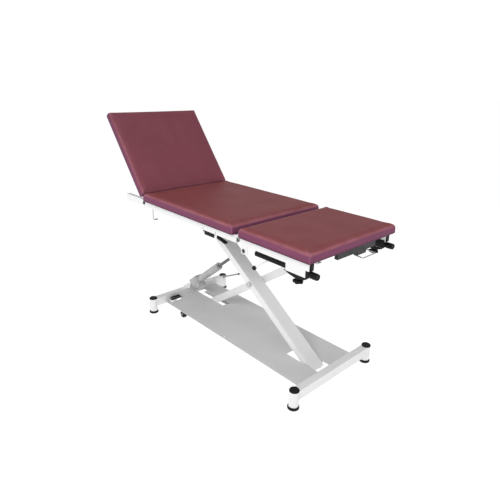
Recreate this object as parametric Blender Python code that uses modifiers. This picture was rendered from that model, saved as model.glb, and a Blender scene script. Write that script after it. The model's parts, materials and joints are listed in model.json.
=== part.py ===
"""Examination couch with a raised back section, a scissor lift and a motor drive.

Metres, +Z up. The foot end points to +X and the release levers are on the -Y side.
Numbers below are measured from the centre of the base; MID moves the whole couch so
that the rest pose is centred on the world origin.
"""

import math

import bmesh
import bpy
from mathutils import Matrix, Vector

# ---- driving dimensions -------------------------------------------------------------
MID = 0.153493          # shift of the base centre from the centre of the bounding box
GAP = 0.0003            # gap between pieces that touch

FOOT_X = 0.619          # foot posts, from the base centre
FOOT_Y = 0.293
POST_R = 0.02415
POST_WALL = 0.0026
POST_Z = (0.0155, 0.0985)
CAP_TOP = 0.105
PAD_FOOT_R = 0.029
BAR_X = (0.599, 0.639)  # cross bars between the foot posts
BAR_Z = (0.047, 0.098)

CHAN_NEAR = (-0.095, -0.060)   # y of the roller channels, below and above
CHAN_FAR = (0.100, 0.135)
RAIL_Z = (0.0270, 0.0570)
COVER_Z = (0.0575, 0.0600)
COVER_X = 0.598
COVER_Y = 0.215

PHI = math.radians(34.55)      # arms above the horizontal at rest
ARM = 1.125                    # pivot to pivot
LOW_X = 0.5032                 # fixed lower pivot of arm A
LOW_Z = 0.042
TOP_Z = LOW_Z + ARM * math.sin(PHI)
ROLL_X = LOW_X - ARM * math.cos(PHI)
CROSS_X = 0.5 * (LOW_X + ROLL_X)
CROSS_Z = 0.5 * (LOW_Z + TOP_Z)
ARM_A_Y = (-0.050, 0.036)
ARM_B_Y = (0.042, 0.090)
ARM_A_H = 0.020                # half depths
ARM_B_H = 0.022

TOPCHAN_Z = (0.655, 0.705)
TOPCHAN_X = (-0.615, 0.540)
SIDE_Y = (0.275, 0.300)        # side rails of the seat and leg frames
SIDE_Z = (0.7140, 0.7537)
SEAT_X = (-0.612, 0.198)
PAD_Z = (0.7540, 0.8060)
PAD_HALF = 0.325
LEG_X = (0.241, 0.680)
LEG_HINGE = (0.2195, 0.752)
BACK_HINGE = (-0.645, 0.737)
BACK_TILT = math.radians(51.3)
BACK_P = (0.030, 0.602)        # back pad along the back from its hinge
BACK_Q = (0.0175, 0.0715)      # and outwards from the hinge

ACT_P = (-0.570, 0.133)        # lower pivot of the actuator
ACT_Y = -0.010
ACT_REACH = 0.772              # of the rod's shoe along arm A
ACT_LIFT = 0.0024              # of the shoe above the arm's centre line

ROD_Y = 0.2875                 # support rods under the leg side rails
ROD_Z = 0.698
KNOB_X = 0.595                 # star knobs


def wipe():
    for obj in list(bpy.data.objects):
        bpy.data.objects.remove(obj, do_unlink=True)


wipe()
scene = bpy.context.scene
scene.unit_settings.system = "METRIC"
scene.unit_settings.scale_length = 1.0

couch = bpy.data.collections.new("examination_couch")
scene.collection.children.link(couch)
helpers = bpy.data.collections.new("cutters")
helpers.hide_render = True
scene.collection.children.link(helpers)


# ---- materials -----------------------------------------------------------------------
def material(name, colour, roughness, metallic=0.0):
    found = bpy.data.materials.new(name)
    found.use_nodes = True
    shader = found.node_tree.nodes["Principled BSDF"]
    shader.inputs["Base Color"].default_value = (*colour, 1.0)
    shader.inputs["Roughness"].default_value = roughness
    shader.inputs["Metallic"].default_value = metallic
    found.diffuse_color = (*colour, 1.0)
    return found


LOOKS = {
    "white": ((0.80, 0.80, 0.80), 0.35, 0.0),
    "cover": ((0.62, 0.62, 0.62), 0.45, 0.0),
    "steel": ((0.55, 0.56, 0.58), 0.30, 1.0),
    "dark": ((0.06, 0.06, 0.065), 0.40, 0.3),
    "black": ((0.02, 0.02, 0.022), 0.45, 0.0),
    "grey": ((0.35, 0.35, 0.36), 0.45, 0.0),
    "rubber": ((0.03, 0.03, 0.03), 0.75, 0.0),
    "vinyl": ((0.22, 0.07, 0.08), 0.42, 0.0),
}


# ---- helpers -------------------------------------------------------------------------
def pivot(name, x, z, turn=0.0, parent=None, y=0.0):
    """An empty on a joint's axis, turned about +Y."""
    empty = bpy.data.objects.new(name, None)
    couch.objects.link(empty)
    empty.empty_display_size = 0.03
    empty.location = (x, y, z)
    empty.rotation_euler = (0.0, turn, 0.0)
    empty.parent = parent
    return empty


def add(name, shape, look, parent):
    """A loose shape becomes one of the couch's pieces."""
    couch.objects.link(shape)
    shape.name = name
    shape.data.name = name
    shape.parent = parent
    shape.data.materials.append(material(name + "_look", *LOOKS[look]))
    return shape


def loose(name, bm):
    mesh = bpy.data.meshes.new(name)
    bm.to_mesh(mesh)
    bm.free()
    return bpy.data.objects.new(name, mesh)


def block(name, x, y, z):
    """A box between the ends of three ranges."""
    bm = bmesh.new()
    bmesh.ops.create_cube(bm, size=1.0)
    bmesh.ops.scale(bm, vec=(x[1] - x[0], y[1] - y[0], z[1] - z[0]), verts=bm.verts)
    obj = loose(name, bm)
    obj.location = ((x[0] + x[1]) / 2, (y[0] + y[1]) / 2, (z[0] + z[1]) / 2)
    return obj


TURN_TO = {
    "x": Matrix(((0, 0, 1), (1, 0, 0), (0, 1, 0))).to_4x4(),
    "y": Matrix(((1, 0, 0), (0, 0, -1), (0, 1, 0))).to_4x4(),
    "z": Matrix.Identity(4),
}


def as_mesh(obj):
    """A curve's evaluated shape as a welded mesh object; the curve is removed."""
    couch.objects.link(obj)
    bpy.context.view_layer.update()
    graph = bpy.context.evaluated_depsgraph_get()
    mesh = bpy.data.meshes.new_from_object(obj.evaluated_get(graph), depsgraph=graph)
    name = obj.name
    bpy.data.objects.remove(obj, do_unlink=True)
    bm = bmesh.new()
    bm.from_mesh(mesh)
    bmesh.ops.remove_doubles(bm, verts=bm.verts, dist=1e-6)
    bmesh.ops.recalc_face_normals(bm, faces=bm.faces)
    bm.to_mesh(mesh)
    bm.free()
    mesh.materials.clear()
    return bpy.data.objects.new(name, mesh)


def sweep(name, outline, axis, ends):
    """A flat closed outline given thickness along one axis."""
    curve = bpy.data.curves.new(name, "CURVE")
    curve.dimensions = "2D"
    curve.fill_mode = "BOTH"
    curve.extrude = (ends[1] - ends[0]) / 2
    line = curve.splines.new("POLY")
    line.points.add(len(outline) - 1)
    line.use_cyclic_u = True
    for target, place in zip(line.points, outline):
        target.co = (*place, 0.0, 1.0)
    obj = as_mesh(bpy.data.objects.new(name, curve))
    obj.data.transform(TURN_TO[axis])
    middle = (ends[0] + ends[1]) / 2
    obj.location = [middle if letter == axis else 0.0 for letter in "xyz"]
    return obj


def hollow(name, outer, wall, axis, ends):
    """A rectangular tube, open at both ends. outer is (a0, a1, b0, b1) across the axis."""
    across = {"x": (ends, outer[:2], outer[2:]), "y": (outer[:2], ends, outer[2:])}[axis]
    obj = block(name, *across)
    bm = bmesh.new()
    bm.from_mesh(obj.data)
    along = "xyz".index(axis)
    caps = [face for face in bm.faces if abs(face.normal[along]) > 0.9]
    bmesh.ops.delete(bm, geom=caps, context="FACES_ONLY")
    bm.to_mesh(obj.data)
    bm.free()
    shell = obj.modifiers.new("wall", "SOLIDIFY")
    shell.thickness = wall
    shell.offset = -1.0
    shell.use_even_offset = True
    return obj


def turned(name, profile, axis, centre, steps=32):
    """A profile of (along, radius) pairs turned about a line through centre."""
    ring = profile[0] == profile[-1]
    points = profile[:-1] if ring else profile
    bm = bmesh.new()
    verts = []
    for along, radius in points:
        place = {"x": (along, radius, 0.0), "y": (radius, along, 0.0), "z": (radius, 0.0, along)}[axis]
        verts.append(bm.verts.new(place))
    for first, second in zip(verts, verts[1:]):
        bm.edges.new((first, second))
    if ring:
        bm.edges.new((verts[-1], verts[0]))
    obj = loose(name, bm)
    obj.location = centre
    lathe = obj.modifiers.new("lathe", "SCREW")
    lathe.axis = axis.upper()
    lathe.angle = 2 * math.pi
    lathe.screw_offset = 0.0
    lathe.steps = steps
    lathe.render_steps = steps
    lathe.use_merge_vertices = True
    lathe.merge_threshold = 1e-5
    lathe.use_normal_flip = True
    lathe.use_smooth_shade = False
    return obj


def rod_profile(start, end, radius, edge=0.0008):
    """A solid bar with broken edges, for turned."""
    return (
        (start, 0.0),
        (start, radius - edge),
        (start + edge, radius),
        (end - edge, radius),
        (end, radius - edge),
        (end, 0.0),
    )


def rounded(obj, width, segments=2, angle=40.0):
    bevel = obj.modifiers.new("edges", "BEVEL")
    bevel.width = width
    bevel.segments = segments
    bevel.limit_method = "ANGLE"
    bevel.angle_limit = math.radians(angle)
    return obj


def combine(obj, tool, parent, operation):
    """A Boolean with a loose shape that shares the object's parent."""
    helpers.objects.link(tool)
    tool.name = obj.name + "_" + tool.name
    tool.parent = parent
    tool.display_type = "WIRE"
    tool.hide_render = True
    step = obj.modifiers.new(operation.lower(), "BOOLEAN")
    step.operation = operation
    step.solver = "EXACT"
    step.object = tool


def cut(obj, tool, parent):
    combine(obj, tool, parent, "DIFFERENCE")


def join(obj, tool, parent):
    combine(obj, tool, parent, "UNION")


def bore(obj, axis, centre, radius, ends, parent, steps=24):
    profile = ((ends[0], 0.0), (ends[0], radius), (ends[1], radius), (ends[1], 0.0))
    cut(obj, turned("bore", profile, axis, centre, steps), parent)


def wire(name, points, radius, corner=0.0):
    """A round wire as a curve: straight runs, their corners rounded over a set distance."""
    path = [Vector(points[0])]
    for before, here, after in zip(points, points[1:], points[2:]):
        here = Vector(here)
        back = (Vector(before) - here).normalized()
        ahead = (Vector(after) - here).normalized()
        start = here + back * corner
        stop = here + ahead * corner
        for k in range(7):
            t = k / 6
            path.append(start * (1 - t) ** 2 + here * 2 * t * (1 - t) + stop * t ** 2)
    path.append(Vector(points[-1]))
    curve = bpy.data.curves.new(name, "CURVE")
    curve.dimensions = "3D"
    curve.bevel_depth = radius
    curve.bevel_resolution = 3
    curve.use_fill_caps = True
    line = curve.splines.new("POLY")
    line.points.add(len(path) - 1)
    for target, place in zip(line.points, path):
        target.co = (*place, 1.0)
    return bpy.data.objects.new(name, curve)


def sides():
    return (("near", -1.0), ("far", 1.0))


def span(low, high, sign):
    """A range on one side of the couch, in rising order."""
    return tuple(sorted((sign * low, sign * high)))


def channel_outline(y, z, wall, open_to):
    """A C section in (y, z), open towards +y or -y."""
    y0, y1 = y
    z0, z1 = z
    if open_to > 0:
        back, mouth, inner = y0, y1, y0 + wall
    else:
        back, mouth, inner = y1, y0, y1 - wall
    return (
        (back, z0),
        (mouth, z0),
        (mouth, z0 + wall),
        (inner, z0 + wall),
        (inner, z1 - wall),
        (mouth, z1 - wall),
        (mouth, z1),
        (back, z1),
    )


root = pivot("assembly", MID, 0.0)

# ---- base ----------------------------------------------------------------------------
for end, sx in (("foot", 1.0), ("head", -1.0)):
    x = span(BAR_X[0], BAR_X[1], sx)
    tube = hollow("bar", (*x, *BAR_Z), 0.003, "y", (-0.291, 0.291))
    bar = add("base_crossbar_" + end, tube, "white", root)
    if end == "head":
        for y in ((-0.046, -0.040), (0.020, 0.026)):
            cheek = (
                (-0.632, 0.090), (-0.602, 0.090), (-0.602, 0.1015), (-0.566, 0.1150),
                (-0.556, 0.125), (-0.556, 0.141), (-0.564, 0.149), (-0.580, 0.149),
                (-0.632, 0.112),
            )
            join(bar, sweep("cheek", cheek, "y", y), root)
        pin = turned("pin", rod_profile(-0.044, 0.024, 0.006), "y", (ACT_P[0], 0.0, ACT_P[1]), 24)
        join(bar, pin, root)
        lug = (
            (-0.620, 0.090), (-0.601, 0.090), (-0.572, 0.098),
            (-0.572, 0.113), (-0.588, 0.113), (-0.620, 0.102),
        )
        join(bar, sweep("lug", lug, "y", (0.2490, 0.2560)), root)
        stub = turned("stub", rod_profile(0.2520, 0.2670, 0.005), "y", (-0.5800, 0.0, 0.1050), 24)
        join(bar, stub, root)
    for side, sy in sides():
        bore(bar, "z", (sx * FOOT_X, sy * FOOT_Y, 0.0), POST_R + GAP, (0.03, 0.12), root, 48)
        tag = end + "_" + side
        centre = (sx * FOOT_X, sy * FOOT_Y, 0.0)
        inner = POST_R - POST_WALL
        z0, z1 = POST_Z
        tube = ((z0, inner), (z0, POST_R), (z1, POST_R), (z1, inner), (z0, inner))
        add("foot_post_" + tag, turned("post", tube, "z", centre, 40), "white", root)
        cap = (
            (0.086, 0.0), (0.086, inner - 0.0006), (z1 + GAP, inner - 0.0004),
            (z1 + GAP, POST_R), (CAP_TOP - 0.002, POST_R), (CAP_TOP, POST_R - 0.0025), (CAP_TOP, 0.0),
        )
        add("foot_cap_" + tag, turned("cap", cap, "z", centre, 32), "black", root)
        shoe = (
            (0.0, 0.0), (0.0, PAD_FOOT_R - 0.002), (0.002, PAD_FOOT_R), (0.010, PAD_FOOT_R),
            (z0 - GAP, 0.0258), (z0 - GAP, inner - 0.0006), (0.030, inner - 0.0006), (0.030, 0.0),
        )
        add("foot_pad_" + tag, turned("shoe", shoe, "z", centre, 32), "rubber", root)

for name, y, faces in (("base_rail_near", CHAN_NEAR, 1), ("base_rail_far", CHAN_FAR, -1)):
    section = channel_outline(y, RAIL_Z, 0.0025, faces)
    rail = add(name, sweep(name, section, "x", (-0.5985, 0.5985)), "grey", root)
    bore(rail, "y", (-0.33, 0.0, 0.036), 0.0053, (y[0] - 0.01, y[1] + 0.01), root)

cover = add("base_cover", block("cover", (-COVER_X, COVER_X), (-COVER_Y, COVER_Y), COVER_Z), "cover", root)
join(cover, block("flange", (-COVER_X, -COVER_X + 0.002), (-COVER_Y, COVER_Y), (0.0580, 0.1000)), root)
for window in (
    ((0.350, 0.580), (-0.055, 0.040)),
    ((-0.590, -0.298), (0.036, 0.097)),
    ((-0.594, -0.558), (-0.190, -0.106)),
):
    cut(cover, block("window", window[0], window[1], (0.050, 0.070)), root)

pin_span = (CHAN_NEAR[0] + 0.0028, CHAN_FAR[1] - 0.0028)
add(
    "lower_pivot_pin",
    turned("pin", rod_profile(pin_span[0], pin_span[1], 0.009), "y", (LOW_X, 0.0, LOW_Z), 28),
    "steel",
    root,
)

# ---- transport wheels and their pedal --------------------------------------------------
treadle = pivot("transport_axis", -0.33, 0.036, 0.0, root)
LEVER_Y = (0.145, 0.170)
shaft = turned("shaft", rod_profile(-0.140, 0.140, 0.005), "y", (0, 0, 0), 24)
add("transport_shaft", shaft, "steel", treadle)
for side, sy in sides():
    y = span(LEVER_Y[0], LEVER_Y[1], sy)
    reach = -0.254 if side == "near" else -0.112
    arm = block("lever", (reach, 0.012), y, (-0.007, 0.007))
    lever = add("transport_lever_" + side, arm, "black", treadle)
    axle = rod_profile(0.155, 0.2045, 0.004)
    if sy < 0:
        axle = tuple((-along, radius) for along, radius in reversed(axle))
    join(lever, turned("axle", axle, "y", (-0.095, 0.0, -0.007), 20), treadle)
    hub_y = span(0.1405, LEVER_Y[1] - 0.001, sy)
    join(lever, turned("hub", rod_profile(hub_y[0], hub_y[1], 0.0105), "y", (0, 0, 0), 24), treadle)
    if side == "near":
        join(lever, block("stem", (-0.2575, -0.2365), y, (-0.001, 0.036)), treadle)
        pad = block("pad", (-0.259, -0.236), (-0.184, -0.114), (0.031, 0.046))
        join(lever, pad, treadle)
    wheel_pivot = pivot("wheel_axis_" + side, -0.095, -0.007, 0.0, treadle)
    y0, y1 = span(0.178, 0.202, sy)
    tyre = (
        (y0, 0.0043), (y0, 0.020), (y0 + 0.003, 0.023), (y1 - 0.003, 0.023),
        (y1, 0.020), (y1, 0.0043), (y0, 0.0043),
    )
    add("transport_wheel_" + side, turned("tyre", tyre, "y", (0, 0, 0), 36), "rubber", wheel_pivot)

pedal_pivot = pivot("side_pedal_axis", -0.5800, 0.1050, 0.0, root)
hub = add(
    "side_pedal",
    turned("hub", rod_profile(0.2565, 0.2790, 0.0105), "y", (0, 0, 0), 28),
    "grey",
    pedal_pivot,
)
stalk = wire("stalk", ((0.003, 0.2680, 0.0015), (0.1726, 0.2680, 0.0816)), 0.0055)
join(hub, as_mesh(stalk), pedal_pivot)
bore(hub, "y", (0, 0, 0), 0.0053, (0.250, 0.2705), pedal_pivot)

# ---- arm A -----------------------------------------------------------------------------
arm_a = pivot("arm_a_axis", LOW_X, LOW_Z, PHI, root)
y0, y1 = ARM_A_Y
h = ARM_A_H
w = 0.004
outline = (
    (y0, -h), (y0 + w, -h), (y0 + w, h - w), (y1 - w, h - w),
    (y1 - w, -h), (y1, -h), (y1, h), (y0, h),
)
beam = add("scissor_arm_a", sweep("arm", outline, "x", (-ARM - 0.020, 0.026)), "white", arm_a)
for along, radius in ((0.0, 0.0093), (-ARM / 2, 0.0093), (-ARM, 0.0083)):
    bore(beam, "y", (along, 0.0, 0.0), radius, (y0 - 0.01, y1 + 0.01), arm_a)
add(
    "scissor_pin",
    turned(
        "pin",
        (
            (-0.0660, 0.0), (-0.0660, 0.0135), (-0.0645, 0.0150), (y0 - GAP, 0.0150), (y0 - GAP, 0.0090),
            (y1 + GAP, 0.0090), (y1 + GAP, 0.0140), (ARM_B_Y[0] - GAP, 0.0140), (ARM_B_Y[0] - GAP, 0.0090),
            (ARM_B_Y[1] + GAP, 0.0090), (ARM_B_Y[1] + GAP, 0.0130), (0.0980, 0.0130), (0.0980, 0.0),
        ),
        "y",
        (-ARM / 2, 0.0, 0.0),
        32,
    ),
    "steel",
    arm_a,
)


def wheelset(name, parent, at, axle, roller, near, far):
    """Two channel rollers on one axle, turned in one piece."""
    profile = (
        (near[0], 0.0), (near[0], roller - 0.001), (near[0] + 0.001, roller), (near[1] - 0.001, roller),
        (near[1], roller - 0.001), (near[1], axle), (far[0], axle), (far[0], roller - 0.001),
        (far[0] + 0.001, roller), (far[1] - 0.001, roller), (far[1], roller - 0.001), (far[1], 0.0),
    )
    axis = pivot(name + "_axis", at, 0.0, 0.0, parent)
    add(name, turned(name, profile, "y", (0, 0, 0), 36), "steel", axis)


wheelset("upper_rollers", arm_a, -ARM, 0.008, 0.0215, (-0.0915, -0.0640), (0.1040, 0.1315))

# ---- arm B -----------------------------------------------------------------------------
arm_b = pivot("arm_b_axis", CROSS_X, CROSS_Z, -PHI, root)
y0, y1 = ARM_B_Y
beam = add(
    "scissor_arm_b",
    hollow("arm", (y0, y1, -ARM_B_H, ARM_B_H), 0.003, "x", (-ARM / 2 - 0.016, ARM / 2 + 0.020)),
    "white",
    arm_b,
)
for along, radius in ((-ARM / 2, 0.0063), (0.0, 0.0093), (ARM / 2, 0.0093)):
    bore(beam, "y", (along, 0.0, 0.0), radius, (y0 - 0.01, y1 + 0.01), arm_b)
wheelset("lower_rollers", arm_b, -ARM / 2, 0.006, 0.0120, (-0.0920, -0.0635), (0.1035, 0.1320))

# ---- seat frame --------------------------------------------------------------------------
add(
    "upper_pivot_pin",
    turned("pin", rod_profile(CHAN_NEAR[0] + 0.0033, CHAN_FAR[1] - 0.0033, 0.009), "y", (LOW_X, 0.0, TOP_Z), 28),
    "steel",
    root,
)
for name, y, faces in (("seat_channel_near", CHAN_NEAR, 1), ("seat_channel_far", CHAN_FAR, -1)):
    add(name, sweep(name, channel_outline(y, TOPCHAN_Z, 0.003, faces), "x", TOPCHAN_X), "white", root)
for name, x in (("seat_crossbar_head", (-0.612, -0.587)), ("seat_crossbar_foot", (0.158, 0.183))):
    outer = (*x, TOPCHAN_Z[1] + GAP, SIDE_Z[1])
    add(name, hollow(name, outer, 0.002, "y", (-SIDE_Y[0] + GAP, SIDE_Y[0] - GAP)), "white", root)

for side, sy in sides():
    y = span(*SIDE_Y, sy)
    tube = hollow("rail", (*y, *SIDE_Z), 0.002, "x", (-0.860, 0.205))
    rail = add("seat_rail_" + side, tube, "white", root)
    lug_y = span(0.2885, 0.2995, sy)
    join(rail, block("lug", (0.190, LEG_HINGE[0]), lug_y, (0.7435, 0.7530)), root)
    eye = turned("eye", rod_profile(lug_y[0], lug_y[1], 0.010), "y", (LEG_HINGE[0], 0.0, LEG_HINGE[1]), 28)
    join(rail, eye, root)
    far_end = (y[0] - 0.01, y[1] + 0.01)
    bore(rail, "y", (LEG_HINGE[0], 0.0, LEG_HINGE[1]), 0.0053, far_end, root)
    bore(rail, "y", (BACK_HINGE[0], 0.0, BACK_HINGE[1]), 0.0063, far_end, root)
    if side == "near":
        for cheek in ((-0.3000, -0.2970), (-0.2780, -0.2750)):
            join(rail, block("cheek", (0.038, 0.054), cheek, (0.6920, 0.7150)), root)
        pin = turned("pin", rod_profile(-0.2990, -0.2760, 0.0025, 0.0003), "y", (0.046, 0.0, 0.7000), 16)
        join(rail, pin, root)
        join(rail, block("tab", (-0.0600, -0.0560), (-0.2980, -0.2770), (0.6980, 0.7150)), root)

add(
    "back_hinge_rod",
    turned(
        "rod",
        (
            (-0.3045, 0.0), (-0.3045, 0.0095), (-0.3003, 0.0095), (-0.3003, 0.0060),
            (0.3003, 0.0060), (0.3003, 0.0095), (0.3045, 0.0095), (0.3045, 0.0),
        ),
        "y",
        (BACK_HINGE[0], 0.0, BACK_HINGE[1]),
        28,
    ),
    "dark",
    root,
)
add(
    "leg_hinge_rod",
    turned("rod", rod_profile(-0.3020, 0.3020, 0.005), "y", (LEG_HINGE[0], 0.0, LEG_HINGE[1]), 24),
    "steel",
    root,
)
seat_pad = add("seat_pad", block("pad", SEAT_X, (-PAD_HALF, PAD_HALF), PAD_Z), "vinyl", root)
rounded(seat_pad, 0.012, 3)
hook_line = ((-0.570, -0.2875, 0.7134), (-0.570, -0.2875, 0.644), (-0.570, -0.2580, 0.644))
add("roll_hook", wire("hook", hook_line, 0.004, 0.010), "steel", root)

release = pivot("back_release_axis", 0.046, 0.7000, 0.0, root)
grip = add(
    "back_release_lever",
    turned("hub", rod_profile(-0.2965, -0.2785, 0.0065), "y", (0, 0, 0), 24),
    "black",
    release,
)
tail = (
    (-0.098, -0.010), (-0.094, 0.012), (-0.020, 0.012), (-0.012, 0.004), (0.004, 0.004), (0.068, -0.010),
    (0.072, -0.014), (0.066, -0.020), (0.000, -0.0045), (-0.020, -0.010),
)
join(grip, sweep("grip", tail, "y", (-0.2960, -0.2790)), release)
bore(grip, "y", (0, 0, 0), 0.0028, (-0.31, -0.26), release, 16)

# ---- back section --------------------------------------------------------------------------
back = pivot("back_axis", BACK_HINGE[0], BACK_HINGE[1], BACK_TILT, root)
for side, sy in sides():
    y = span(0.247, 0.272, sy)
    tube = hollow("tube", (*y, -0.0105, 0.0170), 0.002, "x", (-0.585, 0.020))
    tube = add("back_tube_" + side, tube, "white", back)
    bore(tube, "y", (0, 0, 0), 0.0063, (y[0] - 0.01, y[1] + 0.01), back)
pad = add("back_pad", block("pad", (-BACK_P[1], -BACK_P[0]), (-PAD_HALF, PAD_HALF), BACK_Q), "vinyl", back)
rounded(pad, 0.012, 3)

# ---- leg section ----------------------------------------------------------------------------
leg = pivot("leg_axis", LEG_HINGE[0], LEG_HINGE[1], 0.0, root)


def from_leg(x=0.0, z=0.0):
    return x - LEG_HINGE[0], z - LEG_HINGE[1]


def leg_x(*values):
    return tuple(v - LEG_HINGE[0] for v in values)


def leg_z(*values):
    return tuple(v - LEG_HINGE[1] for v in values)


for side, sy in sides():
    y = span(*SIDE_Y, sy)
    rail = add(
        "leg_rail_" + side,
        hollow("rail", (*y, *leg_z(*SIDE_Z)), 0.002, "x", leg_x(0.234, 0.660)),
        "white",
        leg,
    )
    lug_y = span(0.2755, 0.2875, sy)
    join(rail, block("lug", leg_x(LEG_HINGE[0], 0.246), lug_y, leg_z(0.7435, 0.7530)), leg)
    join(rail, turned("eye", rod_profile(lug_y[0], lug_y[1], 0.010), "y", (0, 0, 0), 28), leg)
    bore(rail, "y", (0, 0, 0), 0.0053, (y[0] - 0.01, y[1] + 0.01), leg)
    join(rail, block("guide", leg_x(0.5285, 0.6400), span(0.2753, 0.2997, sy), leg_z(0.6800, 0.7150)), leg)
    bore(rail, "x", (0.0, sy * ROD_Y, ROD_Z - LEG_HINGE[1]), 0.0083, leg_x(0.520, 0.650), leg)
    if side == "near":
        join(rail, block("plate", leg_x(0.240, 0.286), (-0.2998, -0.2965), leg_z(0.6720, 0.7200)), leg)
        stub_at = (0.464 - LEG_HINGE[0], 0.0, 0.7260 - LEG_HINGE[1])
        join(rail, turned("stub", rod_profile(-0.2765, -0.2580, 0.004), "y", stub_at, 20), leg)
    clamp = (
        (0.5180, 0.6796), (0.6403, 0.6796), (0.6403, 0.7125), (0.6560, 0.7125), (0.6560, 0.6850),
        (0.6400, 0.6700), (0.6080, 0.6612), (0.5800, 0.6612), (0.5450, 0.6690),
    )
    casting = add(
        "rod_clamp_" + side,
        sweep("clamp", [from_leg(x, z) for x, z in clamp], "y", span(0.2765, 0.2985, sy)),
        "black",
        leg,
    )
    bore(casting, "x", (0.0, sy * ROD_Y, ROD_Z - LEG_HINGE[1]), 0.0083, leg_x(0.6350, 0.670), leg)
    bore(casting, "z", (KNOB_X - LEG_HINGE[0], sy * ROD_Y, 0.0), 0.0043, leg_z(0.650, 0.6720), leg)
    sleeve_x = leg_x(0.335, 0.5282)
    sleeve = (
        (sleeve_x[0], 0.0090), (sleeve_x[0], 0.0135), (sleeve_x[0] + 0.001, 0.0145),
        (sleeve_x[1] - 0.001, 0.0145), (sleeve_x[1], 0.0135), (sleeve_x[1], 0.0090), (sleeve_x[0], 0.0090),
    )
    add(
        "rod_sleeve_" + side,
        turned("sleeve", sleeve, "x", (0.0, sy * ROD_Y, ROD_Z - LEG_HINGE[1]), 28),
        "rubber",
        leg,
    )
    slide = pivot("rod_axis_" + side, 0.0, ROD_Z - LEG_HINGE[1], 0.0, leg, sy * ROD_Y)
    x0, x1, x2 = leg_x(0.345, 0.659, 0.700)
    stick = (
        (x0, 0.0), (x0, 0.007), (x0 + 0.001, 0.008), (x1, 0.008), (x1, 0.0135), (x1 + 0.0015, 0.015),
        (x2 - 0.003, 0.015), (x2, 0.012), (x2, 0.0),
    )
    add("support_rod_" + side, turned("bar", stick, "x", (0, 0, 0), 28), "black", slide)
    star = pivot("star_axis_" + side, KNOB_X - LEG_HINGE[0], 0.6500 - LEG_HINGE[1], 0.0, leg, sy * ROD_Y)
    outline = []
    for i in range(60):
        angle = 2 * math.pi * i / 60
        reach = 0.0205 + 0.0045 * math.cos(5 * angle)
        outline.append((reach * math.cos(angle), reach * math.sin(angle)))
    knob = add("star_knob_" + side, sweep("knob", outline, "z", (-0.010, 0.0060)), "black", star)
    stem = (
        (0.0040, 0.0), (0.0040, 0.0100), (0.0105, 0.0080),
        (0.0105, 0.0040), (0.0205, 0.0040), (0.0205, 0.0),
    )
    join(knob, turned("stem", stem, "z", (0, 0, 0), 24), star)

leg_pad = add("leg_pad", block("pad", leg_x(*LEG_X), (-PAD_HALF, PAD_HALF), leg_z(*PAD_Z)), "vinyl", leg)
rounded(leg_pad, 0.012, 3)
plate = block("bar", leg_x(0.650, 0.668), (-0.120, 0.170), leg_z(0.7225, 0.7535))
bar = add("foot_bar", plate, "dark", leg)
join(bar, block("latch", leg_x(0.651, 0.667), (0.0300, 0.1000), leg_z(0.7060, 0.7240)), leg)
bore(bar, "y", (0.659 - LEG_HINGE[0], 0.0, 0.7140 - LEG_HINGE[1]), 0.0033, (0.0250, 0.0380), leg, 20)
bore(bar, "y", (0.659 - LEG_HINGE[0], 0.0, 0.7140 - LEG_HINGE[1]), 0.0033, (0.0920, 0.1050), leg, 20)

bail = pivot("foot_bail_axis", 0.659 - LEG_HINGE[0], 0.7140 - LEG_HINGE[1], 0.0, leg)
bail_line = (
    (0.0, 0.0345, 0.0), (0.0, 0.0120, 0.0), (0.050, 0.0120, -0.003),
    (0.050, 0.1180, -0.003), (0.0, 0.1180, 0.0), (0.0, 0.0955, 0.0),
)
add("foot_bail", wire("bail", bail_line, 0.0030, 0.008), "steel", bail)

lever = pivot("leg_release_axis", 0.464 - LEG_HINGE[0], 0.7260 - LEG_HINGE[1], 0.0, leg)
hub = add(
    "leg_release_lever",
    turned("hub", rod_profile(-0.2740, -0.2600, 0.0090), "y", (0, 0, 0), 24),
    "white",
    lever,
)
start = (-0.004, -0.2670, -0.003)
end = (0.300 - 0.464, -0.2670, 0.6060 - 0.7260)
join(hub, as_mesh(wire("stalk", (start, end), 0.0045)), lever)
ball = bmesh.new()
bmesh.ops.create_uvsphere(ball, u_segments=20, v_segments=12, radius=0.0105, matrix=Matrix.Translation(end))
join(hub, loose("ball", ball), lever)
bore(hub, "y", (0, 0, 0), 0.0043, (-0.30, -0.25), lever, 20)

# ---- actuator ----------------------------------------------------------------------------------
shoe_x = LOW_X - ACT_REACH * math.cos(PHI) + ACT_LIFT * math.sin(PHI)
shoe_z = LOW_Z + ACT_REACH * math.sin(PHI) + ACT_LIFT * math.cos(PHI)
ACT_LENGTH = math.hypot(shoe_x - ACT_P[0], shoe_z - ACT_P[1])
ACT_TURN = math.atan2(shoe_z - ACT_P[1], shoe_x - ACT_P[0])
act = pivot("actuator_axis", ACT_P[0], ACT_P[1], -ACT_TURN, root)
body = add(
    "actuator_body",
    block("body", (0.018, 0.106), (-0.036, 0.016), (-0.045, 0.032)),
    "grey",
    act,
)
join(body, turned("tube", rod_profile(0.100, 0.365, 0.0235), "x", (0.0, ACT_Y, 0.0), 36), act)
join(body, turned("lug", rod_profile(-0.022, 0.002, 0.0155), "y", (0, 0, 0), 28), act)
join(body, block("neck", (0.002, 0.024), (-0.0215, 0.0015), (-0.0130, 0.0130)), act)
bore(body, "x", (0.0, ACT_Y, 0.0), 0.0100, (0.082, 0.375), act, 28)
bore(body, "y", (0, 0, 0), 0.0063, (-0.03, 0.01), act)
rod = add(
    "actuator_rod",
    turned("rod", rod_profile(0.270, ACT_LENGTH, 0.0095), "x", (0.0, ACT_Y, 0.0), 28),
    "steel",
    act,
)
shoe = turned("shoe", rod_profile(-0.0455, 0.0315, 0.0105), "y", (ACT_LENGTH, 0.0, 0.0), 28)
join(rod, shoe, act)
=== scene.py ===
"""Looks of the examination couch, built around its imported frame. Metres, row frame, +Z up."""

import json
import math

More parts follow.
